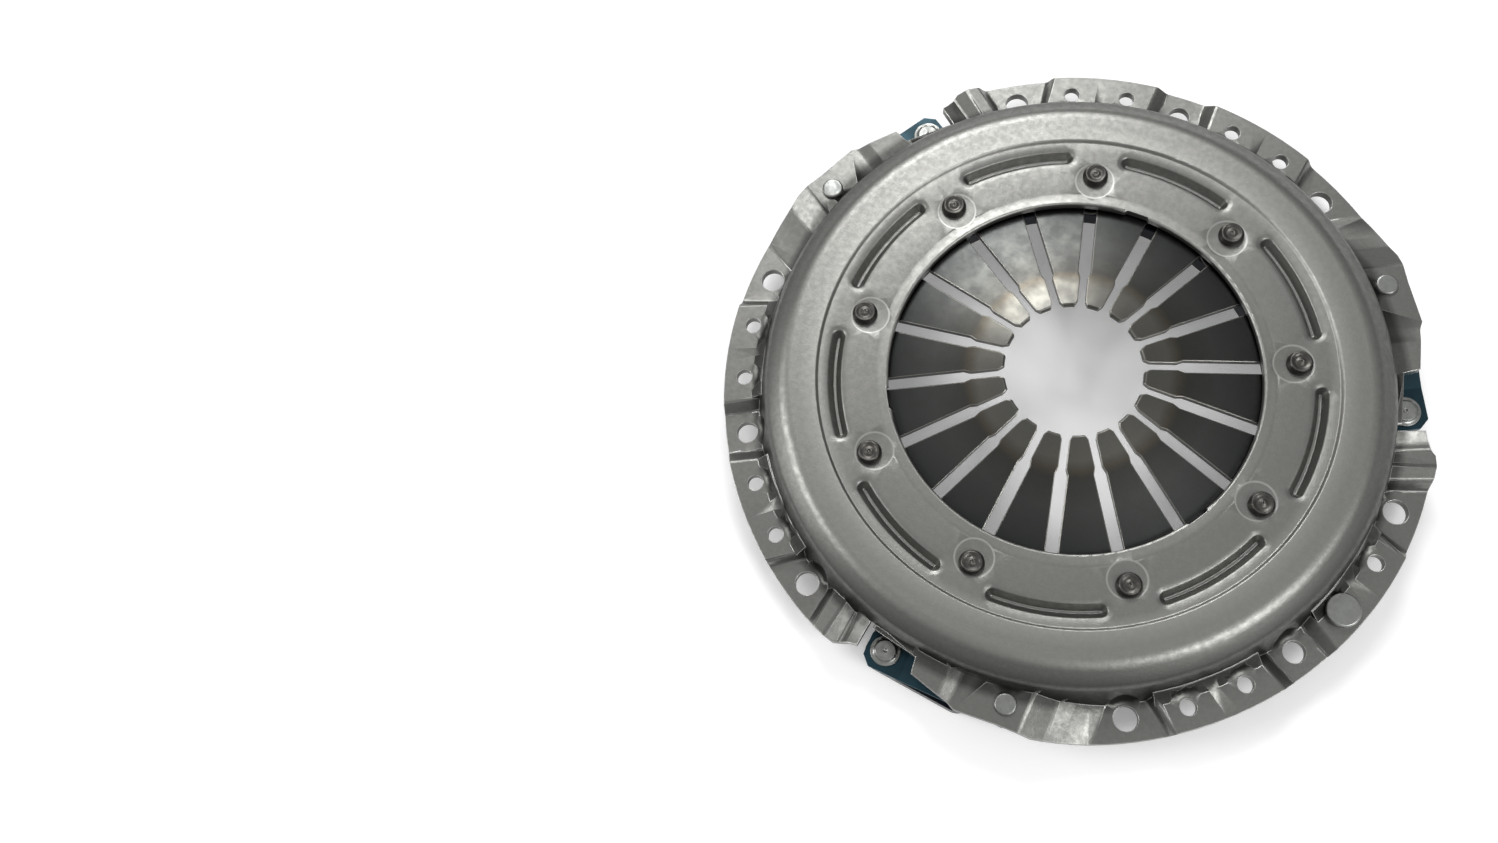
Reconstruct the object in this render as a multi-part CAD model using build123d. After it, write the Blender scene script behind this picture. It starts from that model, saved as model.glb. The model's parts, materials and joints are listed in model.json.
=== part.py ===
from build123d import *
import math
import os

# Clutch pressure plate of the diaphragm spring kind, millimetres.
# Origin on the clutch axis in the plane where the cover flange seats on the flywheel.
# +Z runs from the flywheel towards the gearbox side, so the friction face is below z = 0.
# Places around the axis are given as a compass angle: 0 at +Y, growing towards +X.

# Fulcrum between cover and diaphragm spring
FULCRUM_R = 92.8
SPRING_PIVOT_Z = 16.0
SPRING_T = 2.7
SPRING_TILT = 11.2
FULCRUM_GAP = 0.3
RING_WIRE_R = 2.0
RIDGE_R = FULCRUM_R + 13.7
RIVET_CIRCLE_R = FULCRUM_R - 7.9

# Cast pressure plate
PLATE_R = RIDGE_R + 13.5
PLATE_BORE_R = FULCRUM_R - 13.8
FACE_Z = -7.4
PLATE_BACK_Z = 1.8
RIDGE_GAP = 0.3
LUG_FACE_Z = FACE_Z + 0.7
LUG_BACK_Z = PLATE_BACK_Z + 0.2

# Pressed steel cover
SHEET_T = 4.0
WALL_IN_R = PLATE_R + 1.0
BOLT_CIRCLE_R = WALL_IN_R + 10.0
FLANGE_R = BOLT_CIRCLE_R + 8.8
BLOCK_R = FLANGE_R + 10.0
RAISED_PAD_H = 3.6
BOLT_HOLE_R = 4.7
DOWEL_HOLE_R = 4.25
SMALL_HOLE_R = 3.15
SMALL_HOLE_CIRCLE_R = BOLT_CIRCLE_R + 0.5
POCKET_R = BOLT_CIRCLE_R - WALL_IN_R - 1.5
SCALLOP_R = 6.7
ANNULUS_Z = SPRING_PIVOT_Z + 9.4
OPENING_R = RIVET_CIRCLE_R - 13.5
WINDOW_TOP_Z = 12.3
FOOT_R = WALL_IN_R + 7.3
FOOT_TOP_Z = RAISED_PAD_H + SHEET_T + 4.6

# Pressed grooves of the cover that bear on the spring from above
GROOVE_HALF_ANGLE = 12.4
GROOVE_BOTTOM_Z = ANNULUS_Z - 4.1
GROOVE_BOTTOM_HALF = 0.55
GROOVE_EDGE_HALF = 2.6
GROOVE_EDGE_DROP = 0.5
GROOVE_TOP_HALF = 4.7
RIB_NOSE_R = 3.2
RIB_NOSE_HALF = 1.2
RIB_FOOT_HALF = 6.2
SKIN = 0.5

# Fulcrum rivets
RIVET_SHANK_R = 3.5
RIVET_FIT = 0.05
RIVET_HEAD_BASE_R = RIVET_SHANK_R + 1.5
RIVET_HEAD_TOP_R = RIVET_HEAD_BASE_R - 1.1
RIVET_HEAD_H = 3.0
RIVET_FLANGE_R = FULCRUM_R - RIVET_CIRCLE_R + 1.35
RIVET_FLANGE_T = 2.0
COIN_R = 7.6
COIN_CIRCLE_R = RIVET_CIRCLE_R - 2.2
COIN_DEPTH = 0.4

# Diaphragm spring
SPRING_TIP_R = 26.4
SPRING_OUTER_R = RIDGE_R + 1.5
FINGER_COUNT = 18
SLOT_TIP_HALF = 1.45
SLOT_HALF = 2.4
SLOT_NARROW_R = SPRING_TIP_R + 12.8
SLOT_WIDE_R = SLOT_NARROW_R + 2.6
SLOT_END_R = RIVET_CIRCLE_R - 5.4
RIVET_WINDOW_HALF = RIVET_SHANK_R + 1.2
RIVET_WINDOW_END_R = RIVET_CIRCLE_R + 5.5
PLAIN_WINDOW_HALF = 3.5
PLAIN_WINDOW_END_R = RIVET_WINDOW_END_R - 2.4
FINGER_KERF = 0.3
TIP_CHAMFER = 1.6

# Drive straps
LEAF_T = 0.6
LEAF_COUNT = 3
STRAP_HALF_W = 8.2
STRAP_COVER_END = 5.9
STRAP_PLATE_END = 7.4
STRAP_GAP = 0.05
STRAP_PAD_H = 9.7
STRAP_COVER_A = 49.9
STRAP_COVER_R = BOLT_CIRCLE_R - 1.7
STRAP_PLATE_A = 72.0
STRAP_PLATE_R = BOLT_CIRCLE_R - 2.5
STRAP_SHANK_R = 3.0
LUG_R = STRAP_PLATE_R + 8.8
COVER_RIVET_LOW_R = STRAP_SHANK_R + 2.5
COVER_RIVET_LOW_H = 1.5
COVER_RIVET_TOP_R = STRAP_SHANK_R + 1.35
COVER_RIVET_TOP_H = 1.4
PLATE_RIVET_TOP_R = STRAP_SHANK_R * 2.0
PLATE_RIVET_TOP_H = 1.75
PLATE_RIVET_LOW_R = STRAP_SHANK_R + 2.0
PLATE_RIVET_LOW_H = 2.6

# Balance rivet in one of the small holes
BALANCE_A = 110.0
BALANCE_HEAD_R = SMALL_HOLE_R + 3.35
BALANCE_HEAD_H = 3.6
BALANCE_LOW_R = SMALL_HOLE_R + 1.85
BALANCE_LOW_H = 1.6
BALANCE_SHANK_R = SMALL_HOLE_R - RIVET_FIT

GROUPS = (0, 120, 240)


def at(radius, angle, z=0.0):
    turn = math.radians(angle)
    return Vector(radius * math.sin(turn), radius * math.cos(turn), z)


def turned(shape, angle):
    return Rot(0, 0, -angle) * shape


def face_from(points, upright=True):
    # closed face from (x, y or z, corner radius) points
    def place(u, v):
        return Vector(u, 0, v) if upright else Vector(u, v, 0)

    area = 0
    for (u0, v0, _), (u1, v1, _) in zip(points, points[1:] + points[:1]):
        area += u0 * v1 - u1 * v0
    if area < 0:
        points = points[::-1]
    corners = []
    count = len(points)
    for i, (u, v, radius) in enumerate(points):
        here = place(u, v)
        if radius == 0:
            corners.append((here, None, here))
            continue
        before = place(*points[i - 1][:2])
        after = place(*points[(i + 1) % count][:2])
        to_before = (before - here).normalized()
        to_after = (after - here).normalized()
        half = math.acos(max(-1.0, min(1.0, to_before.dot(to_after)))) / 2
        reach = radius / math.tan(half)
        centre = here + (to_before + to_after).normalized() * (radius / math.sin(half))
        middle = centre + (here - centre).normalized() * radius
        corners.append((here + to_before * reach, middle, here + to_after * reach))
    edges = []
    for i, (start, middle, end) in enumerate(corners):
        if middle is not None:
            edges.append(Edge.make_three_point_arc(start, middle, end))
        edges.append(Edge.make_line(end, corners[(i + 1) % count][0]))
    return Face(Wire(edges))


def spun(points, arc=360.0, start=0.0):
    # solid of revolution about Z, its first side at the given compass angle
    body = revolve(face_from(points), Axis.Z, arc)
    return Rot(0, 0, 90 - start - arc) * body


def drum(radius, angle, hole_r, low, high):
    return Pos(*at(radius, angle, low)) * Cylinder(
        hole_r, high - low, align=(Align.CENTER, Align.CENTER, Align.MIN)
    )


def upward(face, low, high):
    return Pos(0, 0, low) * extrude(face, high - low, dir=(0, 0, 1))


# Fold lines of the flange for one third of the cover.
# Each is the compass angle at the inner radius, at the outer one and how far the
# sheet's upper side stands above its lowest level.
FOLD_IN_R = BOLT_CIRCLE_R - 6.0
FOLD_OUT_R = BOLT_CIRCLE_R + 9.0
SEAM_A = 15.0
FOLDS = (
    (SEAM_A - 2.0, SEAM_A - 2.0, RAISED_PAD_H),
    (25.2, 23.2, RAISED_PAD_H),
    (26.2, 24.2, 0.0),
    (33.0, 36.1, 0.0),
    (41.2, 43.1, 4.5),
    (45.6, 47.4, STRAP_PAD_H),
    (58.3, 58.6, STRAP_PAD_H),
    (60.7, 60.7, 11.0),
    (66.9, 65.5, 12.0),
    (76.5, 75.5, 8.0),
    (78.9, 77.4, 6.0),
    (80.1, 78.5, 4.0),
    (82.7, 81.4, 6.0),
    (85.6, 83.6, 5.2),
    (86.9, 84.9, 0.0),
    (93.8, 95.8, 0.0),
    (94.8, 96.8, RAISED_PAD_H),
    (114.1, 114.9, RAISED_PAD_H),
    (116.2, 116.7, 0.0),
    (123.8, 123.3, 0.0),
    (125.9, 125.1, RAISED_PAD_H),
    (SEAM_A + 122.0, SEAM_A + 122.0, RAISED_PAD_H),
)
FOLD_ROUND = 0.8
SEAT_SKIN = 0.05


def rounded_folds(folds, middles=True):
    # each inner fold becomes a short bend of two or three lines
    result = [folds[0]]
    for before, here, after in zip(folds, folds[1:], folds[2:]):
        span_b = math.radians(abs(here[0] - before[0])) * BOLT_CIRCLE_R
        span_a = math.radians(abs(after[0] - here[0])) * BOLT_CIRCLE_R
        share_b = min(0.42, FOLD_ROUND / max(span_b, 0.1))
        share_a = min(0.42, FOLD_ROUND / max(span_a, 0.1))
        start = [h + (b - h) * share_b for h, b in zip(here, before)]
        end = [h + (a - h) * share_a for h, a in zip(here, after)]
        middle = [(s + 2 * h + e) / 4 for s, h, e in zip(start, here, end)]
        bend = [start, middle, end] if middles else [start, end]
        result.extend(tuple(line) for line in bend)
    result.append(folds[-1])
    return result


def sheet_under(folds):
    # fold lines of the underside: moved off the upper side by the sheet thickness
    def normal(first, second):
        run = math.radians((second[0] + second[1] - first[0] - first[1]) / 2) * BOLT_CIRCLE_R
        rise = second[2] - first[2]
        length = math.hypot(run, rise)
        return (-rise / length, run / length)

    result = []
    for i, fold in enumerate(folds):
        first = normal(folds[max(i - 1, 0)], folds[max(i, 1)])
        second = normal(folds[min(i, len(folds) - 2)], folds[min(i + 1, len(folds) - 1)])
        dot = first[0] * second[0] + first[1] * second[1]
        scale = SHEET_T / (1 + dot)
        side = math.degrees((first[0] + second[0]) * scale / BOLT_CIRCLE_R)
        drop = (first[1] + second[1]) * scale
        result.append((fold[0] - side, fold[1] - side, fold[2] + SHEET_T - drop))
    return result


def fold_section(fold, low, high):
    inner = at(FOLD_IN_R, fold[0])
    outer = at(FOLD_OUT_R, fold[1])
    step = (outer - inner) * (1 / (FOLD_OUT_R - FOLD_IN_R))
    near = inner - step * (FOLD_IN_R - WALL_IN_R + 3.0)
    far = outer + step * (FLANGE_R - FOLD_OUT_R + 8.2)
    corners = [
        Vector(near.X, near.Y, low),
        Vector(far.X, far.Y, low),
        Vector(far.X, far.Y, high),
        Vector(near.X, near.Y, high),
    ]
    return Face(Wire.make_polygon(corners, close=True))


def fold_loft(folds, under):
    sections = []
    for fold in folds:
        if under:
            level = fold[2] if fold[2] > 0.01 else -SEAT_SKIN
            sections.append(fold_section(fold, -12.0, level))
        else:
            sections.append(fold_section(fold, fold[2] + SHEET_T, 45.0))
    return loft(sections, ruled=True)


def wedge(a_in_low, a_out_low, a_in_high, a_out_high, near_r, far_r, low, high):
    # block between two slanting lines, the angles given at the inner and outer radius
    def line_point(a_in, a_out, radius):
        inner = at(FOLD_IN_R, a_in)
        outer = at(FOLD_OUT_R, a_out)
        return inner + (outer - inner) * ((radius - FOLD_IN_R) / (FOLD_OUT_R - FOLD_IN_R))

    corners = [
        line_point(a_in_low, a_out_low, near_r),
        line_point(a_in_low, a_out_low, far_r),
        line_point(a_in_high, a_out_high, far_r),
        line_point(a_in_high, a_out_high, near_r),
    ]
    return upward(Face(Wire.make_polygon(corners, close=True)), low, high)


# Rim outline of the flange as compass angles and radii, drawn in around the strap window
RIM = (
    (45.2, FLANGE_R),
    (48.2, FLANGE_R - 1.5),
    (50.5, FLANGE_R - 2.4),
    (57.6, FLANGE_R - 2.8),
    (59.0, FLANGE_R - 4.6),
    (61.5, FLANGE_R - 6.0),
    (66.0, FLANGE_R - 8.2),
    (75.4, FLANGE_R - 6.4),
    (77.4, FLANGE_R - 4.6),
    (79.6, FLANGE_R - 0.6),
    (81.5, FLANGE_R),
)


def flange_blank():
    # one third of the flange ring, its rim drawn in around the strap window
    points = [at(radius, angle) for angle, radius in RIM]
    first = RIM[0][0]
    last = RIM[-1][0]
    end = SEAM_A + 120
    near = WALL_IN_R + 0.6
    edges = [Edge.make_three_point_arc(
        at(FLANGE_R, SEAM_A), at(FLANGE_R, (SEAM_A + first) / 2), at(FLANGE_R, first)
    )]
    for start, stop in zip(points, points[1:]):
        edges.append(Edge.make_line(start, stop))
    edges.append(Edge.make_three_point_arc(
        at(FLANGE_R, last), at(FLANGE_R, (last + end) / 2), at(FLANGE_R, end)
    ))
    edges.append(Edge.make_line(at(FLANGE_R, end), at(near, end)))
    edges.append(Edge.make_three_point_arc(at(near, end), at(near, end - 60), at(near, SEAM_A)))
    edges.append(Edge.make_line(at(near, SEAM_A), at(FLANGE_R, SEAM_A)))
    return upward(Face(Wire(edges)), 0.0, 22.0)


RIB_BOTTOM_Z = SPRING_PIVOT_Z + SPRING_T / 2 + FULCRUM_GAP


def pressing(half_profile, middle):
    # curved trough or rib with round ends, from the outer half of its profile
    mirrored = [(FULCRUM_R - x, z, r) for x, z, r in half_profile]
    outward = [(FULCRUM_R + x, z, r) for x, z, r in reversed(half_profile)]
    shape = spun(mirrored + outward, 2 * GROOVE_HALF_ANGLE, middle - GROOVE_HALF_ANGLE)
    first = half_profile[0]
    last = half_profile[-1]
    middle_line = [(0, first[1], 0)] + list(half_profile) + [(0, last[1], 0)]
    cap = revolve(face_from(middle_line), Axis.Z, 360)
    ends = [
        Pos(*at(FULCRUM_R, middle + side * GROOVE_HALF_ANGLE)) * cap for side in (-1, 1)
    ]
    return shape + ends


def groove_cut(middle):
    # soft recess with a narrow steep trough along its middle
    reach = 2 * GROOVE_TOP_HALF - GROOVE_EDGE_HALF
    flank = (
        (reach, ANNULUS_Z + 2.0, 0),
        (reach, ANNULUS_Z + GROOVE_EDGE_DROP, 0),
        (GROOVE_EDGE_HALF, ANNULUS_Z - GROOVE_EDGE_DROP, 1.0),
        (GROOVE_BOTTOM_HALF, GROOVE_BOTTOM_Z, 0.3),
    )
    return pressing(flank, middle)


def groove_rib(middle):
    # the same pressing seen from below, its nose bears on the spring
    under = ANNULUS_Z - SHEET_T
    slope = (under - RIB_BOTTOM_Z) / (RIB_FOOT_HALF - RIB_NOSE_HALF)
    flank = (
        (RIB_FOOT_HALF + SKIN, under + 2 * SKIN * slope, 0),
        (RIB_FOOT_HALF + SKIN, under + SKIN * slope, 0),
        (RIB_NOSE_HALF, RIB_BOTTOM_Z, RIB_NOSE_R),
    )
    return pressing(flank, middle)


DOME_SPLIT_R = WALL_IN_R - 4.0


def dome_profile():
    under = ANNULUS_Z - SHEET_T
    return (
        (OPENING_R, under + 1.1, 0.5),
        (OPENING_R, ANNULUS_Z + 0.5, 1.2),
        (OPENING_R + 4.8, ANNULUS_Z - 0.3, 0),
        (OPENING_R + 5.3, ANNULUS_Z, 0),
        (FULCRUM_R + 6.5, ANNULUS_Z, 0.3),
        (FULCRUM_R + 7.5, ANNULUS_Z + 1.2, 0.6),
        (WALL_IN_R - 8.0, ANNULUS_Z + 1.2, 9.0),
        (WALL_IN_R + 0.2, ANNULUS_Z - 4.6, 6.0),
        (WALL_IN_R + 3.6, 8.0, 0),
        (WALL_IN_R + 5.4, 0.0, 0),
        (WALL_IN_R, 0.0, 0),
        (WALL_IN_R, 9.5, 4.0),
        (WALL_IN_R - 3.4, 17.6, 3.0),
        (WALL_IN_R - 9.2, ANNULUS_Z - 3.1, 4.0),
        (FULCRUM_R + 9.8, ANNULUS_Z - 2.3, 2.0),
        (FULCRUM_R + 7.4, under, 2.0),
        (OPENING_R + 6.0, under, 0),
    )


def make_dome():
    # crown of the cover with its grooves, rivet seats and the edge of the opening
    disc = Cylinder(DOME_SPLIT_R, 40, align=(Align.CENTER, Align.CENTER, Align.MIN))
    crown = spun(dome_profile()) & disc
    crown = crown + [groove_rib(45.5 + 40 * k) for k in range(9)]
    tools = [groove_cut(45.5 + 40 * k) for k in range(9)]
    for k in range(9):
        angle = 25.5 + 40 * k
        dish = Cone(COIN_R, COIN_R + 2.0, 2.0, align=(Align.CENTER, Align.CENTER, Align.MIN))
        tools.append(Pos(*at(COIN_CIRCLE_R, angle, ANNULUS_Z - COIN_DEPTH)) * dish)
        tools.append(drum(RIVET_CIRCLE_R, angle, RIVET_SHANK_R + RIVET_FIT, 10, 30))
    notch = (
        (-6.2, OPENING_R - 2.5, 0),
        (6.2, OPENING_R - 2.5, 0),
        (4.4, OPENING_R + 0.9, 1.0),
        (-4.4, OPENING_R + 0.9, 1.0),
    )
    for turn in GROUPS:
        tools.append(turned(upward(face_from(notch, False), 18, 30), turn))
    return crown - tools


def make_skirt_third():
    # one third of the wall and the flange
    ring = spun(dome_profile(), 120.0, SEAM_A)
    ring = ring - Cylinder(DOME_SPLIT_R, 60)
    blank = flange_blank() - fold_loft(rounded_folds(FOLDS), False)
    # sloping foot between wall and raised flange
    seat = RAISED_PAD_H + SHEET_T
    foot = (
        (WALL_IN_R + 2.0, seat - 1.0, 0),
        (WALL_IN_R + 2.0, FOOT_TOP_Z, 0),
        (WALL_IN_R + 3.0, FOOT_TOP_Z, 0),
        (FOOT_R, seat, 0),
        (FOOT_R, seat - 1.0, 0),
    )
    feet = []
    for start, end in ((SEAM_A, 25.2), (94.8, 114.1), (125.9, SEAM_A + 120)):
        feet.append(spun(foot, end - start, start))
    skirt = ring + [blank] + feet
    tools = [fold_loft(rounded_folds(sheet_under(FOLDS), False), True)]
    # strap window through wall and flange
    window = (66.7, 65.3, 76.7, 75.7)
    tools.append(wedge(*window, WALL_IN_R - 6.0, WALL_IN_R + 8.0, -3.0, WINDOW_TOP_Z))
    tools.append(wedge(*window, WALL_IN_R + 4.4, BLOCK_R, -3.0, BLOCK_R))
    skirt = skirt - tools
    # flange holes with the pockets pressed round them
    tools = []
    for angle, hole_r in ((30, BOLT_HOLE_R), (90, BOLT_HOLE_R), (120, DOWEL_HOLE_R)):
        tools.append(drum(BOLT_CIRCLE_R, angle, hole_r, -2, 6))
        tools.append(drum(BOLT_CIRCLE_R, angle, POCKET_R, SHEET_T, 18))
    for angle in (20, 100, 110, 130):
        tools.append(drum(SMALL_HOLE_CIRCLE_R, angle, SMALL_HOLE_R, 0, 9))
        tools.append(drum(SMALL_HOLE_CIRCLE_R, angle, SCALLOP_R, seat, 16))
    tools.append(drum(STRAP_COVER_R, STRAP_COVER_A, STRAP_SHANK_R + RIVET_FIT, 5, 18))
    return skirt - tools


def make_cover():
    skirt = make_skirt_third()
    return make_dome() + [turned(skirt, turn) for turn in GROUPS]


RIDGE_TOP_Z = (
    SPRING_PIVOT_Z
    - (RIDGE_R - FULCRUM_R) * math.tan(math.radians(SPRING_TILT))
    - (SPRING_T / 2) / math.cos(math.radians(SPRING_TILT))
    - RIDGE_GAP
)


def make_plate():
    body = spun(
        (
            (PLATE_BORE_R, FACE_Z, 0.8),
            (PLATE_R, FACE_Z, 0.8),
            (PLATE_R, LUG_BACK_Z, 1.2),
            (PLATE_R - 5.4, LUG_BACK_Z + 0.4, 3.0),
            (RIDGE_R + 2.4, RIDGE_TOP_Z, 1.6),
            (RIDGE_R - 2.4, RIDGE_TOP_Z, 1.6),
            (RIDGE_R - 8.1, PLATE_BACK_Z + 0.9, 3.0),
            (RIDGE_R - 12.5, PLATE_BACK_Z, 0),
            (PLATE_BORE_R, PLATE_BACK_Z, 1.0),
        )
    )
    root_r = PLATE_R - 4.0
    lug_points = (
        (51.6, root_r),
        (53.4, PLATE_R + 1.6),
        (56.0, LUG_R),
        (74.9, LUG_R),
        (76.4, root_r),
    )
    lug_radii = (0, 4.0, 6.5, 6.5, 0)
    outline = []
    for (angle, radius), corner in zip(lug_points, lug_radii):
        spot = at(radius, angle)
        outline.append((spot.X, spot.Y, corner))
    lug = upward(face_from(outline, False), LUG_FACE_Z, LUG_BACK_Z)
    near = PLATE_R + 0.4
    far = PLATE_R + 8.0
    scallop_edges = [
        Edge.make_three_point_arc(at(near, 22), at(PLATE_R - 3.5, 34), at(near, 46)),
        Edge.make_line(at(near, 46), at(far, 46)),
        Edge.make_line(at(far, 46), at(far, 22)),
        Edge.make_line(at(far, 22), at(near, 22)),
    ]
    scallop = upward(Face(Wire(scallop_edges)), FACE_Z - 1, LUG_BACK_Z + 1)
    for turn in GROUPS:
        body = body + turned(lug, turn)
        body = body - turned(scallop, turn)
        body = body - drum(
            STRAP_PLATE_R, STRAP_PLATE_A + turn, STRAP_SHANK_R + RIVET_FIT, LUG_FACE_Z - 1, 4
        )
    return body


def make_fingers():
    tilt = math.radians(SPRING_TILT)
    across = (math.sin(tilt) * SPRING_T / 2, math.cos(tilt) * SPRING_T / 2)

    def mid_z(radius):
        return SPRING_PIVOT_Z - (radius - FULCRUM_R) * math.tan(tilt)

    inner = (SPRING_TIP_R, mid_z(SPRING_TIP_R))
    outer = (SPRING_OUTER_R, mid_z(SPRING_OUTER_R))
    spring = spun(
        (
            (inner[0] - across[0], inner[1] - across[1], 0.8),
            (outer[0] - across[0], outer[1] - across[1], 0.6),
            (outer[0] + across[0], outer[1] + across[1], 0.6),
            (inner[0] + across[0], inner[1] + across[1], 0.8),
        )
    )
    for k in range(FINGER_COUNT):
        on_rivet = k % 2 == 0
        half = RIVET_WINDOW_HALF if on_rivet else PLAIN_WINDOW_HALF
        end = RIVET_WINDOW_END_R if on_rivet else PLAIN_WINDOW_END_R
        right = (
            (SLOT_TIP_HALF + TIP_CHAMFER, SPRING_TIP_R - 1.4, 0),
            (SLOT_TIP_HALF, SPRING_TIP_R + TIP_CHAMFER + 0.6, 0),
            (SLOT_TIP_HALF, SLOT_NARROW_R, 0),
            (SLOT_HALF, SLOT_WIDE_R, 0),
            (SLOT_HALF, SLOT_END_R, 0),
            (half, SLOT_END_R + 1.0, 0),
            (half, end, 1.4),
        )
        left = tuple((-x, y, r) for x, y, r in reversed(right))
        slot = upward(face_from(right + left, False), 0, 45)
        kerf = Pos(0, SLOT_END_R, 0) * Box(
            FINGER_KERF, 40, 45, align=(Align.CENTER, Align.MIN, Align.MIN)
        )
        spring = spring - turned(slot, 25.5 + 20 * k)
        spring = spring - turned(kerf, 25.5 + 20 * k)
    pieces = {}
    for solid in spring.solids():
        spot = solid.center()
        angle = math.degrees(math.atan2(spot.X, spot.Y)) % 360
        number = round((angle - 35.5) / 20) % FINGER_COUNT
        pieces[number] = solid
    return pieces


def make_fulcrum_rivet():
    low = SPRING_PIVOT_Z - SPRING_T / 2 - FULCRUM_GAP - 2 * RING_WIRE_R - FULCRUM_GAP
    seat = ANNULUS_Z - COIN_DEPTH
    top = seat + RIVET_HEAD_H
    body = revolve(
        face_from(
            (
                (0, low - RIVET_FLANGE_T, 0),
                (RIVET_FLANGE_R, low - RIVET_FLANGE_T, 0.7),
                (RIVET_FLANGE_R, low, 0.4),
                (RIVET_SHANK_R, low, 0),
                (RIVET_SHANK_R, seat, 0),
                (RIVET_HEAD_BASE_R, seat, 0),
                (RIVET_HEAD_BASE_R - 0.15, seat + 1.4, 0.5),
                (RIVET_HEAD_TOP_R, top, 0.2),
                (RIVET_HEAD_TOP_R - 0.8, top, 0),
                (RIVET_HEAD_TOP_R - 1.1, top - 0.3, 0),
                (1.5, top - 0.3, 0),
                (1.2, top - 0.05, 0),
                (0.8, top - 0.05, 0),
                (0.4, top - 0.7, 0),
                (0, top - 0.7, 0),
            )
        ),
        Axis.Z,
        360,
    )
    return body


def make_ring():
    z = SPRING_PIVOT_Z - SPRING_T / 2 - FULCRUM_GAP - RING_WIRE_R
    return Pos(0, 0, z) * Torus(FULCRUM_R, RING_WIRE_R)


STRAP_START = at(STRAP_COVER_R, STRAP_COVER_A)
STRAP_STOP = at(STRAP_PLATE_R, STRAP_PLATE_A)
STRAP_LENGTH = (STRAP_STOP - STRAP_START).length
STRAP_TURN = math.degrees(
    math.atan2(STRAP_STOP.Y - STRAP_START.Y, STRAP_STOP.X - STRAP_START.X)
)


def make_leaf(layer):
    # layer 0 lies against the plate lug, the last one against the cover
    stack = LEAF_T * LEAF_COUNT
    cover_z = STRAP_PAD_H - STRAP_GAP - stack + layer * LEAF_T
    plate_z = LUG_BACK_Z + STRAP_GAP + layer * LEAF_T
    near = STRAP_PLATE_END + 1.6
    line = (
        (-STRAP_COVER_END, cover_z),
        (near, cover_z),
        (STRAP_LENGTH - near, plate_z),
        (STRAP_LENGTH + STRAP_PLATE_END, plate_z),
    )
    low = [(x, z, 0) for x, z in line]
    high = [(x, z + LEAF_T, 0) for x, z in reversed(line)]
    strip = extrude(face_from(low + high), STRAP_HALF_W, dir=(0, 1, 0), both=True)
    cut = 3.6
    corners = (
        (-STRAP_COVER_END, -STRAP_HALF_W + cut, 0.8),
        (-STRAP_COVER_END + cut, -STRAP_HALF_W, 0.8),
        (STRAP_LENGTH + STRAP_PLATE_END - cut, -STRAP_HALF_W, 0.8),
        (STRAP_LENGTH + STRAP_PLATE_END, -STRAP_HALF_W + cut, 0.8),
        (STRAP_LENGTH + STRAP_PLATE_END, STRAP_HALF_W - cut, 0.8),
        (STRAP_LENGTH + STRAP_PLATE_END - cut, STRAP_HALF_W, 0.8),
        (-STRAP_COVER_END + cut, STRAP_HALF_W, 0.8),
        (-STRAP_COVER_END, STRAP_HALF_W - cut, 0.8),
    )
    strip = strip & upward(face_from(corners, False), -2, 14)
    for x in (0, STRAP_LENGTH):
        strip = strip - Pos(x, 0, -2) * Cylinder(
            STRAP_SHANK_R + RIVET_FIT, 16, align=(Align.CENTER, Align.CENTER, Align.MIN)
        )
    return Pos(STRAP_START.X, STRAP_START.Y, 0) * Rot(0, 0, STRAP_TURN) * strip


def make_strap_cover_rivet():
    low = STRAP_PAD_H - STRAP_GAP - LEAF_T * LEAF_COUNT
    pad_top = STRAP_PAD_H + SHEET_T
    body = revolve(
        face_from(
            (
                (0, low - COVER_RIVET_LOW_H, 0),
                (COVER_RIVET_LOW_R, low - COVER_RIVET_LOW_H, 0.6),
                (COVER_RIVET_LOW_R, low, 0),
                (STRAP_SHANK_R, low, 0),
                (STRAP_SHANK_R, pad_top, 0),
                (COVER_RIVET_TOP_R, pad_top, 0),
                (COVER_RIVET_TOP_R, pad_top + COVER_RIVET_TOP_H, 0.9),
                (0, pad_top + COVER_RIVET_TOP_H, 0),
            )
        ),
        Axis.Z,
        360,
    )
    return body


def make_strap_plate_rivet():
    seat = LUG_BACK_Z + STRAP_GAP + LEAF_T * LEAF_COUNT
    top = seat + PLATE_RIVET_TOP_H
    low = LUG_FACE_Z - PLATE_RIVET_LOW_H
    body = revolve(
        face_from(
            (
                (0, low, 0),
                (PLATE_RIVET_LOW_R, low, 0.8),
                (PLATE_RIVET_LOW_R, LUG_FACE_Z, 0),
                (STRAP_SHANK_R, LUG_FACE_Z, 0),
                (STRAP_SHANK_R, seat, 0),
                (PLATE_RIVET_TOP_R, seat, 0),
                (PLATE_RIVET_TOP_R, seat + 0.8, 0.3),
                (4.6, seat + 0.8, 0),
                (3.9, top, 0.4),
                (0.9, top, 0),
                (0.4, top - 0.5, 0),
                (0, top - 0.5, 0),
            )
        ),
        Axis.Z,
        360,
    )
    return body


def make_balance_rivet():
    pad_top = RAISED_PAD_H + SHEET_T
    body = revolve(
        face_from(
            (
                (0, RAISED_PAD_H - BALANCE_LOW_H, 0),
                (BALANCE_LOW_R, RAISED_PAD_H - BALANCE_LOW_H, 0.6),
                (BALANCE_LOW_R, RAISED_PAD_H, 0),
                (BALANCE_SHANK_R, RAISED_PAD_H, 0),
                (BALANCE_SHANK_R, pad_top, 0),
                (BALANCE_HEAD_R, pad_top, 0),
                (BALANCE_HEAD_R, pad_top + BALANCE_HEAD_H, 0.8),
                (0, pad_top + BALANCE_HEAD_H, 0),
            )
        ),
        Axis.Z,
        360,
    )
    return Pos(*at(SMALL_HOLE_CIRCLE_R, BALANCE_A)) * body


def save(shape, name):
    export_step(shape, "parts/" + name + ".step")


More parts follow.
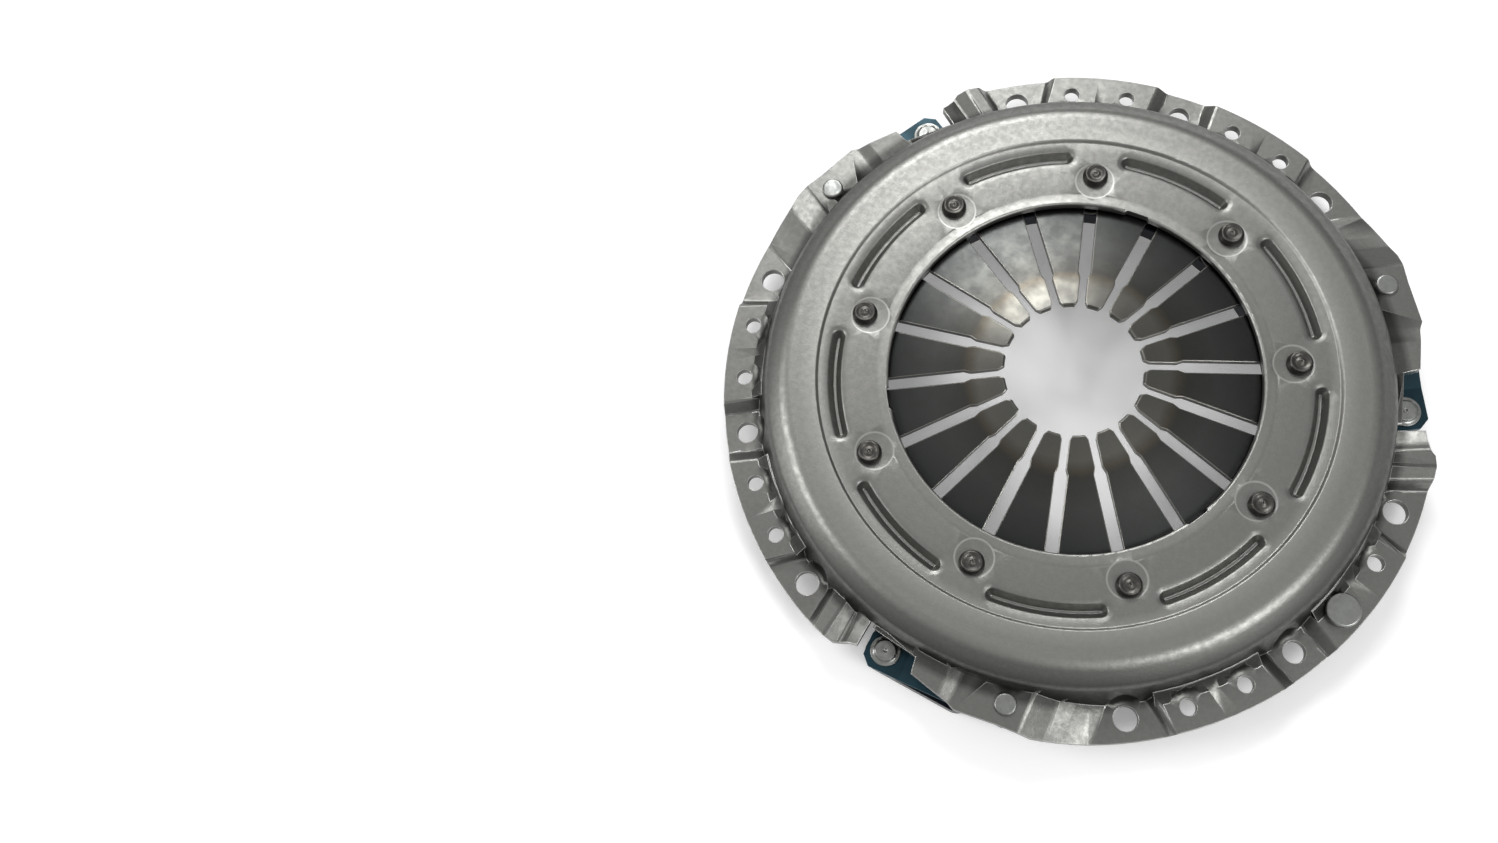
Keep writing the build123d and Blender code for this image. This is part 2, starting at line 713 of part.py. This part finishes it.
os.makedirs("parts", exist_ok=True)
save(make_cover(), "cover_shell")
save(make_plate(), "pressure_plate")
for number, finger in sorted(make_fingers().items()):
    save(finger, "diaphragm_finger_%02d" % (number + 1))
save(make_ring(), "fulcrum_ring")
fulcrum_rivet = make_fulcrum_rivet()
save(
    Compound(
        children=[Pos(*at(RIVET_CIRCLE_R, 25.5 + 40 * k)) * fulcrum_rivet for k in range(9)]
    ),
    "fulcrum_rivets",
)
for name, turn in zip("abc", GROUPS):
    for layer in range(LEAF_COUNT):
        save(turned(make_leaf(layer), turn), "strap_%s_leaf_%d" % (name, layer + 1))
cover_rivet = make_strap_cover_rivet()
save(
    Compound(
        children=[Pos(*at(STRAP_COVER_R, STRAP_COVER_A + turn)) * cover_rivet for turn in GROUPS]
    ),
    "strap_cover_rivets",
)
plate_rivet = make_strap_plate_rivet()
save(
    Compound(
        children=[Pos(*at(STRAP_PLATE_R, STRAP_PLATE_A + turn)) * plate_rivet for turn in GROUPS]
    ),
    "strap_plate_rivets",
)
save(make_balance_rivet(), "balance_rivet")
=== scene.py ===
import json
import math

import bpy
from mathutils import Matrix, Vector

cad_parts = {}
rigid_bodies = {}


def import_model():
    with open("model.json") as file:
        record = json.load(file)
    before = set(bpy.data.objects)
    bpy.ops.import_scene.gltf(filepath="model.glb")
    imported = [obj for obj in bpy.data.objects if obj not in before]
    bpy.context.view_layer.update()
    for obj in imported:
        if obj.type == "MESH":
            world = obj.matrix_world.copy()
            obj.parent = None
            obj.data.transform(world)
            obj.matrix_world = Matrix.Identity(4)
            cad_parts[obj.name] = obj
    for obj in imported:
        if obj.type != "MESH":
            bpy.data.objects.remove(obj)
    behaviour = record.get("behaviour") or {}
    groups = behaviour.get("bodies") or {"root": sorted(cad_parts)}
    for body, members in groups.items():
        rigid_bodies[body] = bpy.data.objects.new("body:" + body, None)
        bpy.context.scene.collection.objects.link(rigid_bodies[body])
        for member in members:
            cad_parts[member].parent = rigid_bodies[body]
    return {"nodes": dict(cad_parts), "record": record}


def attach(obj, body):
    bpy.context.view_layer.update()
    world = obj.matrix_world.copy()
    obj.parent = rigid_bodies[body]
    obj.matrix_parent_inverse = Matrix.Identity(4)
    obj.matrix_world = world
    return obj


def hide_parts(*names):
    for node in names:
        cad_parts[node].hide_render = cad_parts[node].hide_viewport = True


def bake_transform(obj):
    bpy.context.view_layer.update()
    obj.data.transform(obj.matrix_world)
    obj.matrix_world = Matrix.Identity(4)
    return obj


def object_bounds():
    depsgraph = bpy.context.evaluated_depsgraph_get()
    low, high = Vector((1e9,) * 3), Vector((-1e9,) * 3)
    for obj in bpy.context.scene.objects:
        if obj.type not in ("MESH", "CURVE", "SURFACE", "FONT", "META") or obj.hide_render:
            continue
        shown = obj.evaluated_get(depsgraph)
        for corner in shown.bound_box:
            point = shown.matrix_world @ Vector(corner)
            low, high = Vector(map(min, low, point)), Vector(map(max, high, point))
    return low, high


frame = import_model()
nodes = frame["nodes"]
cad_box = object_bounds()

# Places on the part, as metres from the axis and degrees clockwise from +Y
COIN_CIRCLE = 0.0827
COIN_START = 25.5
COIN_STEP = 40
COIN_EDGE = 0.0075

# Camera, with its three axes and its place in the part's frame
SENSOR_WIDTH = 36.0
LENS = 33.12
CAMERA_NEAR = 0.01
CAMERA_RIGHT = (0.90353, 0.40908, -0.12762)
CAMERA_UP = (-0.36155, 0.88759, 0.28543)
CAMERA_BACK = (0.23004, -0.21176, 0.94986)
CAMERA_PLACE = (0.016368, -0.181756, 0.545327)

# Floor and light
WHITE = (1, 1, 1, 1)
FLOOR_SIZE = 6.0
FLOOR_GAP = 0.0001
FLOOR_COLOUR = (0.86, 0.86, 0.86, 1)
FLOOR_GLOW = 0.22
FLOOR_FADE = (0.30, 0.80)
HORIZON_LIGHT = 0.10
OVERHEAD_LIGHT = 0.55
LAMPS = (
    ("key_softbox", (-0.5, 0.9, 1.1), 0.7, 12.0),
    ("fill_softbox", (0.9, -0.3, 1.0), 0.6, 7.5),
    ("front_softbox", (-0.9, -0.4, 0.7), 0.6, 5.5),
)

# Smoothing of the meshes
MERGE_DISTANCE = 0.000002
SMOOTH_ANGLE = 16.0
LARGE_FACE_WEIGHT = 100

# Surface of every metal
BLOTCH_EDGES = (0.34, 0.66)
GRAIN_IN_BLOTCHES = 0.35
GRAIN_DEPTH = 0.0003
BEVEL_SAMPLES = 6

# Cover: painted highlights and painted shade by distance from the axis
COVER_REACH = (0.070, 0.132)
COVER_PAINTED_LIGHT_AND_SHADE = (
    # lip round the opening, lighter with a painted highlight
    (0.0715, 0.85),
    (0.0750, 0.80),
    # flat with rivets and grooves
    (0.0765, 0.64),
    (0.0955, 0.66),
    # step, brightest with a painted highlight
    (0.0985, 0.85),
    (0.1005, 1.0),
    (0.1030, 0.88),
    # crown, lighter with a painted highlight
    (0.1070, 0.76),
    (0.1130, 0.78),
    (0.1165, 0.66),
    # wall, darkened with painted shade
    (0.1200, 0.42),
    (0.1235, 0.22),
    (0.1262, 0.26),
    # flange
    (0.1290, 0.60),
)
FLANGE_START = (0.124, 0.128)
FLANGE_GLOSS = 0.03

# Cover: 0 on the painted highlight line round a rivet seat and 1 beside it
COIN_HIGHLIGHT_COLOUR = (0.37, 0.37, 0.355, 1)
COIN_HIGHLIGHT_HALF_WIDTH = 0.0001
COIN_HIGHLIGHT_FADE = 0.0005
COIN_REACH = (0.0, 0.012)
COIN_HIGHLIGHT_LINE = (
    (0.0, 1.0),
    (COIN_EDGE - COIN_HIGHLIGHT_FADE, 1.0),
    (COIN_EDGE - COIN_HIGHLIGHT_HALF_WIDTH, 0.0),
    (COIN_EDGE + COIN_HIGHLIGHT_HALF_WIDTH, 0.0),
    (COIN_EDGE + COIN_HIGHLIGHT_FADE, 1.0),
)

# Fingers: colour, with painted shade towards the rim, by distance from the axis
FINGER_REACH = (0.026, 0.082)
FINGER_TONES_AND_SHADE = (
    # ground tips
    (0.027, (0.130, 0.128, 0.117, 1)),
    (0.038, (0.140, 0.137, 0.122, 1)),
    # brown fringe where the heat ran
    (0.0425, (0.092, 0.083, 0.068, 1)),
    # bare spring steel, darker towards the rim, partly its own tone and partly painted shade under
    # the cover's lip
    (0.0445, (0.066, 0.065, 0.060, 1)),
    (0.056, (0.076, 0.078, 0.074, 1)),
    (0.081, (0.034, 0.037, 0.037, 1)),
)
FRINGE_SCALE = 90.0
FRINGE_WANDER = 0.004

# Plate: turned where the surface looks down, by the normal's Z, and coated elsewhere
COATED_TO_TURNED = (-0.80, -0.95)
TURNING_SCALE = 2400.0
TURNING_COLOUR = (0.235, 0.205, 0.165, 1)
COATING_COLOUR = (0.014, 0.017, 0.024, 1)

# Sockets of a colour mix node, which has several of each name
MIX_FACTOR = 0
MIX_FIRST = 6
MIX_SECOND = 7
MIX_RESULT = 2


# Shader nodes
def empty_tree(owner):
    owner.use_nodes = True
    owner.node_tree.nodes.clear()
    return owner.node_tree


def add(tree, kind, **settings):
    node = tree.nodes.new(kind)
    for name, value in settings.items():
        setattr(node, name, value)
    return node


def feed(tree, socket, source):
    # the source is another node's output or a plain value
    if isinstance(source, bpy.types.NodeSocket):
        tree.links.new(source, socket)
    else:
        socket.default_value = source


def calculate(tree, operation, *sources, clamp=False):
    node = add(tree, "ShaderNodeMath", operation=operation, use_clamp=clamp)
    for socket, source in zip(node.inputs, sources):
        feed(tree, socket, source)
    return node.outputs[0]


def map_range(tree, source, reach, low=0.0, high=1.0):
    node = add(tree, "ShaderNodeMapRange")
    feed(tree, node.inputs["Value"], source)
    feed(tree, node.inputs["From Min"], reach[0])
    feed(tree, node.inputs["From Max"], reach[1])
    feed(tree, node.inputs["To Min"], low)
    feed(tree, node.inputs["To Max"], high)
    return node.outputs["Result"]


def mix_colours(tree, mask, first, second, blend="MIX"):
    node = add(tree, "ShaderNodeMix", data_type="RGBA", blend_type=blend)
    feed(tree, node.inputs[MIX_FACTOR], mask)
    feed(tree, node.inputs[MIX_FIRST], first)
    feed(tree, node.inputs[MIX_SECOND], second)
    return node.outputs[MIX_RESULT]


def mix_shaders(tree, mask, first, second):
    node = add(tree, "ShaderNodeMixShader")
    for socket, source in zip(node.inputs, (mask, first, second)):
        tree.links.new(source, socket)
    return node.outputs[0]


def shine(tree, kind, colour, strength):
    node = add(tree, kind)
    feed(tree, node.inputs["Color"], colour)
    feed(tree, node.inputs["Strength"], strength)
    return node.outputs[0]


def coordinate(tree, output="Object"):
    return add(tree, "ShaderNodeTexCoord").outputs[output]


def noise(tree, scale, detail, roughness=0.5):
    node = add(tree, "ShaderNodeTexNoise")
    feed(tree, node.inputs["Vector"], coordinate(tree))
    feed(tree, node.inputs["Scale"], scale)
    feed(tree, node.inputs["Detail"], detail)
    feed(tree, node.inputs["Roughness"], roughness)
    return node.outputs["Fac"]


def split_vector(tree, vector):
    node = add(tree, "ShaderNodeSeparateXYZ")
    tree.links.new(vector, node.inputs[0])
    return node.outputs


def vector_length(tree, vector):
    node = add(tree, "ShaderNodeVectorMath", operation="LENGTH")
    tree.links.new(vector, node.inputs[0])
    return node.outputs["Value"]


def band_ramp(tree, source, reach, stops):
    # a colour ramp over a distance in metres
    low, high = reach
    ramp = add(tree, "ShaderNodeValToRGB")
    strip = ramp.color_ramp
    for index, (distance, shade) in enumerate(stops):
        position = (distance - low) / (high - low)
        if index < 2:
            stop = strip.elements[index]
            stop.position = position
        else:
            stop = strip.elements.new(position)
        stop.color = shade if isinstance(shade, tuple) else (shade, shade, shade, 1)
    tree.links.new(map_range(tree, source, reach), ramp.inputs[0])
    return ramp.outputs[0]


# Camera, floor, light
def make_camera():
    data = bpy.data.cameras.new("photo_camera")
    data.sensor_width = SENSOR_WIDTH
    data.lens = LENS
    data.clip_start = CAMERA_NEAR
    camera = bpy.data.objects.new("photo_camera", data)
    axes = Matrix((CAMERA_RIGHT, CAMERA_UP, CAMERA_BACK))
    place = axes.transposed().to_4x4()
    place.translation = CAMERA_PLACE
    camera.matrix_world = place
    bpy.context.scene.collection.objects.link(camera)
    bpy.context.scene.camera = camera


def shown_rays(tree):
    # 1 for what camera, mirror and glass rays see
    path = add(tree, "ShaderNodeLightPath").outputs
    seen = calculate(tree, "MAXIMUM", path["Is Camera Ray"], path["Is Glossy Ray"])
    return calculate(tree, "MAXIMUM", seen, path["Is Transmission Ray"])


def make_floor():
    bpy.ops.mesh.primitive_plane_add(size=FLOOR_SIZE, location=(0, 0, cad_box[0][2] - FLOOR_GAP))
    floor = bpy.context.active_object
    floor.name = "floor"
    material = bpy.data.materials.new("pale_floor")
    tree = empty_tree(material)
    body = add(tree, "ShaderNodeBsdfDiffuse")
    feed(tree, body.inputs["Color"], FLOOR_COLOUR)
    lit = add(tree, "ShaderNodeAddShader")
    tree.links.new(body.outputs[0], lit.inputs[0])
    tree.links.new(shine(tree, "ShaderNodeEmission", WHITE, FLOOR_GLOW), lit.inputs[1])
    # plain white far from the part, where the lamps don't reach
    far = map_range(tree, vector_length(tree, coordinate(tree)), FLOOR_FADE)
    white = shine(tree, "ShaderNodeEmission", WHITE, 1.0)
    ground = mix_shaders(tree, far, lit.outputs[0], white)
    surface = mix_shaders(tree, shown_rays(tree), body.outputs[0], ground)
    out = add(tree, "ShaderNodeOutputMaterial")
    tree.links.new(surface, out.inputs["Surface"])
    floor.data.materials.append(material)


def make_world():
    world = bpy.data.worlds.new("studio")
    bpy.context.scene.world = world
    tree = empty_tree(world)
    # brighter overhead than at the horizon
    upward = split_vector(tree, coordinate(tree, "Generated"))["Z"]
    strength = map_range(tree, upward, (0.0, 1.0), HORIZON_LIGHT, OVERHEAD_LIGHT)
    room = shine(tree, "ShaderNodeBackground", WHITE, strength)
    backdrop = shine(tree, "ShaderNodeBackground", WHITE, 1.0)
    camera_rays = add(tree, "ShaderNodeLightPath").outputs["Is Camera Ray"]
    out = add(tree, "ShaderNodeOutputWorld")
    tree.links.new(mix_shaders(tree, camera_rays, room, backdrop), out.inputs["Surface"])


def make_lamp(name, place, size, power):
    data = bpy.data.lights.new(name, "AREA")
    data.shape = "DISK"
    data.size = size
    data.energy = power
    lamp = bpy.data.objects.new(name, data)
    lamp.location = place
    lamp.rotation_euler = (-Vector(place)).to_track_quat("-Z", "Y").to_euler()
    bpy.context.scene.collection.objects.link(lamp)


# Shared shader groups
def make_group(name, inputs, outputs):
    tree = bpy.data.node_groups.new(name, "ShaderNodeTree")
    kinds = {"value": "NodeSocketFloat", "colour": "NodeSocketColor", "vector": "NodeSocketVector"}
    for label, kind, value in inputs:
        socket = tree.interface.new_socket(label, in_out="INPUT", socket_type=kinds[kind])
        socket.default_value = value
    for label, kind in outputs:
        tree.interface.new_socket(label, in_out="OUTPUT", socket_type=kinds[kind])
    return tree, add(tree, "NodeGroupInput").outputs, add(tree, "NodeGroupOutput").inputs


def use(tree, group, **values):
    # an underscore in a value's name stands for a space in the input's
    node = add(tree, "ShaderNodeGroup", node_tree=group)
    for name, value in values.items():
        node.inputs[name.replace("_", " ")].default_value = value
    return node.outputs


def make_blotch_group():
    # two colours in soft blotches under a fine grain, with a roughness that follows them
    tree, start, end = make_group(
        "blotched metal",
        (
            ("Colour", "colour", (0.4, 0.4, 0.4, 1)),
            ("Blotch Colour", "colour", (0.3, 0.3, 0.3, 1)),
            ("Blotch Scale", "value", 40.0),
            ("Grain Scale", "value", 1500.0),
            ("Rough Low", "value", 0.35),
            ("Rough High", "value", 0.5),
        ),
        (("Colour", "colour"), ("Roughness", "value"), ("Grain", "value")),
    )
    blotch = noise(tree, start["Blotch Scale"], detail=4.0, roughness=0.6)
    grain = noise(tree, start["Grain Scale"], detail=2.0, roughness=0.7)
    ramp = add(tree, "ShaderNodeValToRGB")
    for stop, position in zip(ramp.color_ramp.elements, BLOTCH_EDGES):
        stop.position = position
    tree.links.new(blotch, ramp.inputs[0])
    mask = calculate(tree, "MULTIPLY_ADD", grain, GRAIN_IN_BLOTCHES, ramp.outputs[0])
    colour = mix_colours(tree, mask, start["Colour"], start["Blotch Colour"])
    rough = map_range(tree, ramp.outputs[0], (0.0, 1.0), start["Rough Low"], start["Rough High"])
    tree.links.new(colour, end["Colour"])
    tree.links.new(rough, end["Roughness"])
    tree.links.new(grain, end["Grain"])
    return tree


def make_edge_highlight_group():
    # painted highlight mask and rounded normal along creases and edges
    tree, start, end = make_group(
        "edge highlight",
        (("Width", "value", 0.0006), ("Strength", "value", 6.0)),
        (("Edge", "value"), ("Normal", "vector")),
    )
    bevel = add(tree, "ShaderNodeBevel", samples=BEVEL_SAMPLES)
    face = add(tree, "ShaderNodeNewGeometry")
    likeness = add(tree, "ShaderNodeVectorMath", operation="DOT_PRODUCT")
    tree.links.new(start["Width"], bevel.inputs["Radius"])
    tree.links.new(bevel.outputs[0], likeness.inputs[0])
    tree.links.new(face.outputs["Normal"], likeness.inputs[1])
    difference = calculate(tree, "SUBTRACT", 1.0, likeness.outputs["Value"])
    edge = calculate(tree, "MULTIPLY", difference, start["Strength"], clamp=True)
    tree.links.new(edge, end["Edge"])
    tree.links.new(bevel.outputs[0], end["Normal"])
    return tree


def make_radius_group():
    # distance from the clutch axis
    tree, _, end = make_group("axis distance", (), (("Radius", "value"),))
    flat = add(tree, "ShaderNodeVectorMath", operation="MULTIPLY")
    tree.links.new(coordinate(tree), flat.inputs[0])
    feed(tree, flat.inputs[1], (1, 1, 0))
    tree.links.new(vector_length(tree, flat.outputs[0]), end["Radius"])
    return tree


def make_coin_group():
    # distance from the middle of the nearest coined rivet seat, seen along the axis
    tree, _, end = make_group("coin distance", (), (("Distance", "value"),))
    half_step = math.radians(COIN_STEP / 2)
    place = split_vector(tree, coordinate(tree))
    radius = use(tree, axis_distance)["Radius"]
    angle = calculate(tree, "ARCTAN2", place["X"], place["Y"])
    from_first = calculate(tree, "SUBTRACT", angle, math.radians(COIN_START))
    from_nearest = calculate(tree, "WRAP", from_first, half_step, -half_step)
    outward = calculate(tree, "MULTIPLY", calculate(tree, "COSINE", from_nearest), radius)
    sideways = calculate(tree, "MULTIPLY", calculate(tree, "SINE", from_nearest), radius)
    offset = add(tree, "ShaderNodeCombineXYZ")
    tree.links.new(calculate(tree, "SUBTRACT", outward, COIN_CIRCLE), offset.inputs["X"])
    tree.links.new(sideways, offset.inputs["Y"])
    tree.links.new(vector_length(tree, offset.outputs[0]), end["Distance"])
    return tree


blotched = make_blotch_group()
edge_highlight = make_edge_highlight_group()
axis_distance = make_radius_group()
coin_distance = make_coin_group()


# Finishes
def metal(name, blotch, edge, edge_highlight_colour, bump=0.04, metallic=1.0, recolour=None):
    material = bpy.data.materials.new(name)
    tree = empty_tree(material)
    link = tree.links.new
    surface = use(tree, blotched, **blotch)
    edge_glint = use(tree, edge_highlight, **edge)
    colour = surface["Colour"]
    rough = surface["Roughness"]
    if recolour:
        colour, rough = recolour(tree, colour, rough)
    relief = add(tree, "ShaderNodeBump")
    relief.inputs["Strength"].default_value = bump
    relief.inputs["Distance"].default_value = GRAIN_DEPTH
    link(surface["Grain"], relief.inputs["Height"])
    link(edge_glint["Normal"], relief.inputs["Normal"])
    body = add(tree, "ShaderNodeBsdfPrincipled")
    body.inputs["Metallic"].default_value = metallic
    # the lighter edge colour at creases and edges is a painted highlight
    link(mix_colours(tree, edge_glint["Edge"], colour, edge_highlight_colour), body.inputs["Base Color"])
    link(rough, body.inputs["Roughness"])
    link(relief.outputs[0], body.inputs["Normal"])
    out = add(tree, "ShaderNodeOutputMaterial")
    link(body.outputs[0], out.inputs["Surface"])
    return material


def finger_colours(tree, colour, rough):
    # the bands' borders wander a little, as the heat did
    radius = use(tree, axis_distance)["Radius"]
    wander = noise(tree, FRINGE_SCALE, detail=3.0)
    distance = calculate(tree, "MULTIPLY_ADD", wander, FRINGE_WANDER, radius)
    # radial tones, darkening towards the rim partly with painted shade
    shade = band_ramp(tree, distance, FINGER_REACH, FINGER_TONES_AND_SHADE)
    return mix_colours(tree, 1.0, colour, shade, blend="MULTIPLY"), rough


def cover_colours_with_painted_light(tree, colour, rough):
    # painted highlights on the lip, step and crown, painted shade on the wall, smoother flange, a
    # painted highlight line round each rivet seat
    radius = use(tree, axis_distance)["Radius"]
    shade = band_ramp(tree, radius, COVER_REACH, COVER_PAINTED_LIGHT_AND_SHADE)
    shaded = mix_colours(tree, 1.0, colour, shade, blend="MULTIPLY")
    # painted highlight line round each rivet seat
    seat = use(tree, coin_distance)["Distance"]
    beside_line = band_ramp(tree, seat, COIN_REACH, COIN_HIGHLIGHT_LINE)
    gloss = map_range(tree, radius, FLANGE_START, 0.0, FLANGE_GLOSS)
    smoother = calculate(tree, "SUBTRACT", rough, gloss)
    return mix_colours(tree, beside_line, COIN_HIGHLIGHT_COLOUR, shaded), smoother


def machined_colours(tree, colour, rough):
    # fine turning rings on the friction face, dark coating on the raw sides and back
    facing = split_vector(tree, coordinate(tree, "Normal"))["Z"]
    machined = map_range(tree, facing, COATED_TO_TURNED)
    rings = add(tree, "ShaderNodeTexNoise", noise_dimensions="1D")
    feed(tree, rings.inputs["W"], use(tree, axis_distance)["Radius"])
    feed(tree, rings.inputs["Scale"], TURNING_SCALE)
    feed(tree, rings.inputs["Detail"], 3.0)
    turned = mix_colours(tree, rings.outputs["Fac"], colour, TURNING_COLOUR)
    return mix_colours(tree, machined, COATING_COLOUR, turned), rough


def cover_finish():
    return metal(
        "satin_cover_steel",
        blotch=dict(
            Colour=(0.365, 0.365, 0.345, 1),
            Blotch_Colour=(0.295, 0.295, 0.280, 1),
            Blotch_Scale=420.0,
            Grain_Scale=1100.0,
            Rough_Low=0.38,
            Rough_High=0.46,
        ),
        edge=dict(Width=0.0005, Strength=12.0),
        edge_highlight_colour=(0.60, 0.60, 0.58, 1),
        bump=0.16,
        recolour=cover_colours_with_painted_light,
    )


def spring_finish():
    # these colours only tint the bands' own
    return metal(
        "dark_spring_steel",
        blotch=dict(
            Colour=(1.0, 1.0, 0.98, 1),
            Blotch_Colour=(0.80, 0.80, 0.81, 1),
            Blotch_Scale=160.0,
            Grain_Scale=1500.0,
            Rough_Low=0.28,
            Rough_High=0.37,
        ),
        edge=dict(Width=0.0007, Strength=8.0),
        edge_highlight_colour=(0.50, 0.49, 0.45, 1),
        recolour=finger_colours,
    )


def plate_finish():
    return metal(
        "turned_plate_iron",
        blotch=dict(
            Colour=(0.165, 0.145, 0.115, 1),
            Blotch_Colour=(0.145, 0.128, 0.102, 1),
            Blotch_Scale=120.0,
            Grain_Scale=1200.0,
            Rough_Low=0.38,
            Rough_High=0.42,
        ),
        edge=dict(Width=0.0004, Strength=3.0),
        edge_highlight_colour=(0.22, 0.20, 0.17, 1),
        recolour=machined_colours,
    )


def strap_finish():
    return metal(
        "blue_strap_steel",
        blotch=dict(
            Colour=(0.016, 0.048, 0.068, 1),
            Blotch_Colour=(0.010, 0.030, 0.040, 1),
            Blotch_Scale=90.0,
            Grain_Scale=1600.0,
            Rough_Low=0.28,
            Rough_High=0.42,
        ),
        edge=dict(Width=0.0003, Strength=4.0),
        edge_highlight_colour=(0.10, 0.22, 0.27, 1),
        metallic=0.7,
    )


def zinc_finish():
    return metal(
        "zinc_rivet",
        blotch=dict(
            Colour=(0.36, 0.37, 0.355, 1),
            Blotch_Colour=(0.22, 0.225, 0.215, 1),
            Blotch_Scale=320.0,
            Grain_Scale=2200.0,
            Rough_Low=0.30,
            Rough_High=0.46,
        ),
        edge=dict(Width=0.0004, Strength=5.0),
        edge_highlight_colour=(0.62, 0.62, 0.60, 1),
    )


def oxide_finish():
    return metal(
        "black_rivet",
        blotch=dict(
            Colour=(0.115, 0.11, 0.10, 1),
            Blotch_Colour=(0.060, 0.058, 0.055, 1),
            Blotch_Scale=300.0,
            Grain_Scale=2200.0,
            Rough_Low=0.30,
            Rough_High=0.46,
        ),
        edge=dict(Width=0.0005, Strength=5.0),
        edge_highlight_colour=(0.40, 0.39, 0.36, 1),
    )


# Pieces
def only(piece):
    bpy.ops.object.select_all(action="DESELECT")
    piece.select_set(True)
    bpy.context.view_layer.objects.active = piece


def merged_copy(name, label):
    # the same shape with its triangles joined and its curved sides smooth
    only(nodes[name])
    bpy.ops.object.duplicate()
    piece = bpy.context.active_object
    bpy.ops.object.parent_clear(type="CLEAR_KEEP_TRANSFORM")
    for key in [key for key in piece.keys() if key.startswith("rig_")]:
        del piece[key]
    piece.name = label
    bpy.ops.object.mode_set(mode="EDIT")
    bpy.ops.mesh.select_all(action="SELECT")
    bpy.ops.mesh.remove_doubles(threshold=MERGE_DISTANCE)
    bpy.ops.object.mode_set(mode="OBJECT")
    bpy.ops.object.shade_smooth_by_angle(angle=math.radians(SMOOTH_ANGLE))
    bpy.ops.object.modifier_add(type="WEIGHTED_NORMAL")
    weighted = piece.modifiers[-1]
    weighted.mode = "FACE_AREA"
    weighted.weight = LARGE_FACE_WEIGHT
    weighted.keep_sharp = True
    bpy.ops.object.modifier_apply(modifier=weighted.name)
    return piece


def dress(piece, material):
    piece.data.materials.clear()
    piece.data.materials.append(material)


def bend_strap(piece):
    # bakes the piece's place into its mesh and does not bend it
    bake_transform(piece)


finishes = {
    "cover_steel": cover_finish(),
    "spring_steel": spring_finish(),
    "plate_iron": plate_finish(),
    "strap_steel": strap_finish(),
    "plated_rivet": zinc_finish(),
    "dark_rivet": oxide_finish(),
}
finishes["wire_steel"] = finishes["spring_steel"]
slot_of = {part["node"]: part["material_slot"] for part in frame["record"]["subparts"]}
body_of = {}
for body, members in frame["record"]["behaviour"]["bodies"].items():
    for member in members:
        body_of[member] = body

for name in nodes:
    piece = merged_copy(name, name + "_finished")
    dress(piece, finishes[slot_of[name]])
    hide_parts(name)
    if "_leaf_" in name:
        bend_strap(piece)
    else:
        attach(piece, body_of[name])

make_camera()
make_floor()
make_world()
for lamp_name, lamp_place, lamp_size, lamp_power in LAMPS:
    make_lamp(lamp_name, lamp_place, lamp_size, lamp_power)
bpy.context.scene.view_settings.view_transform = "Standard"
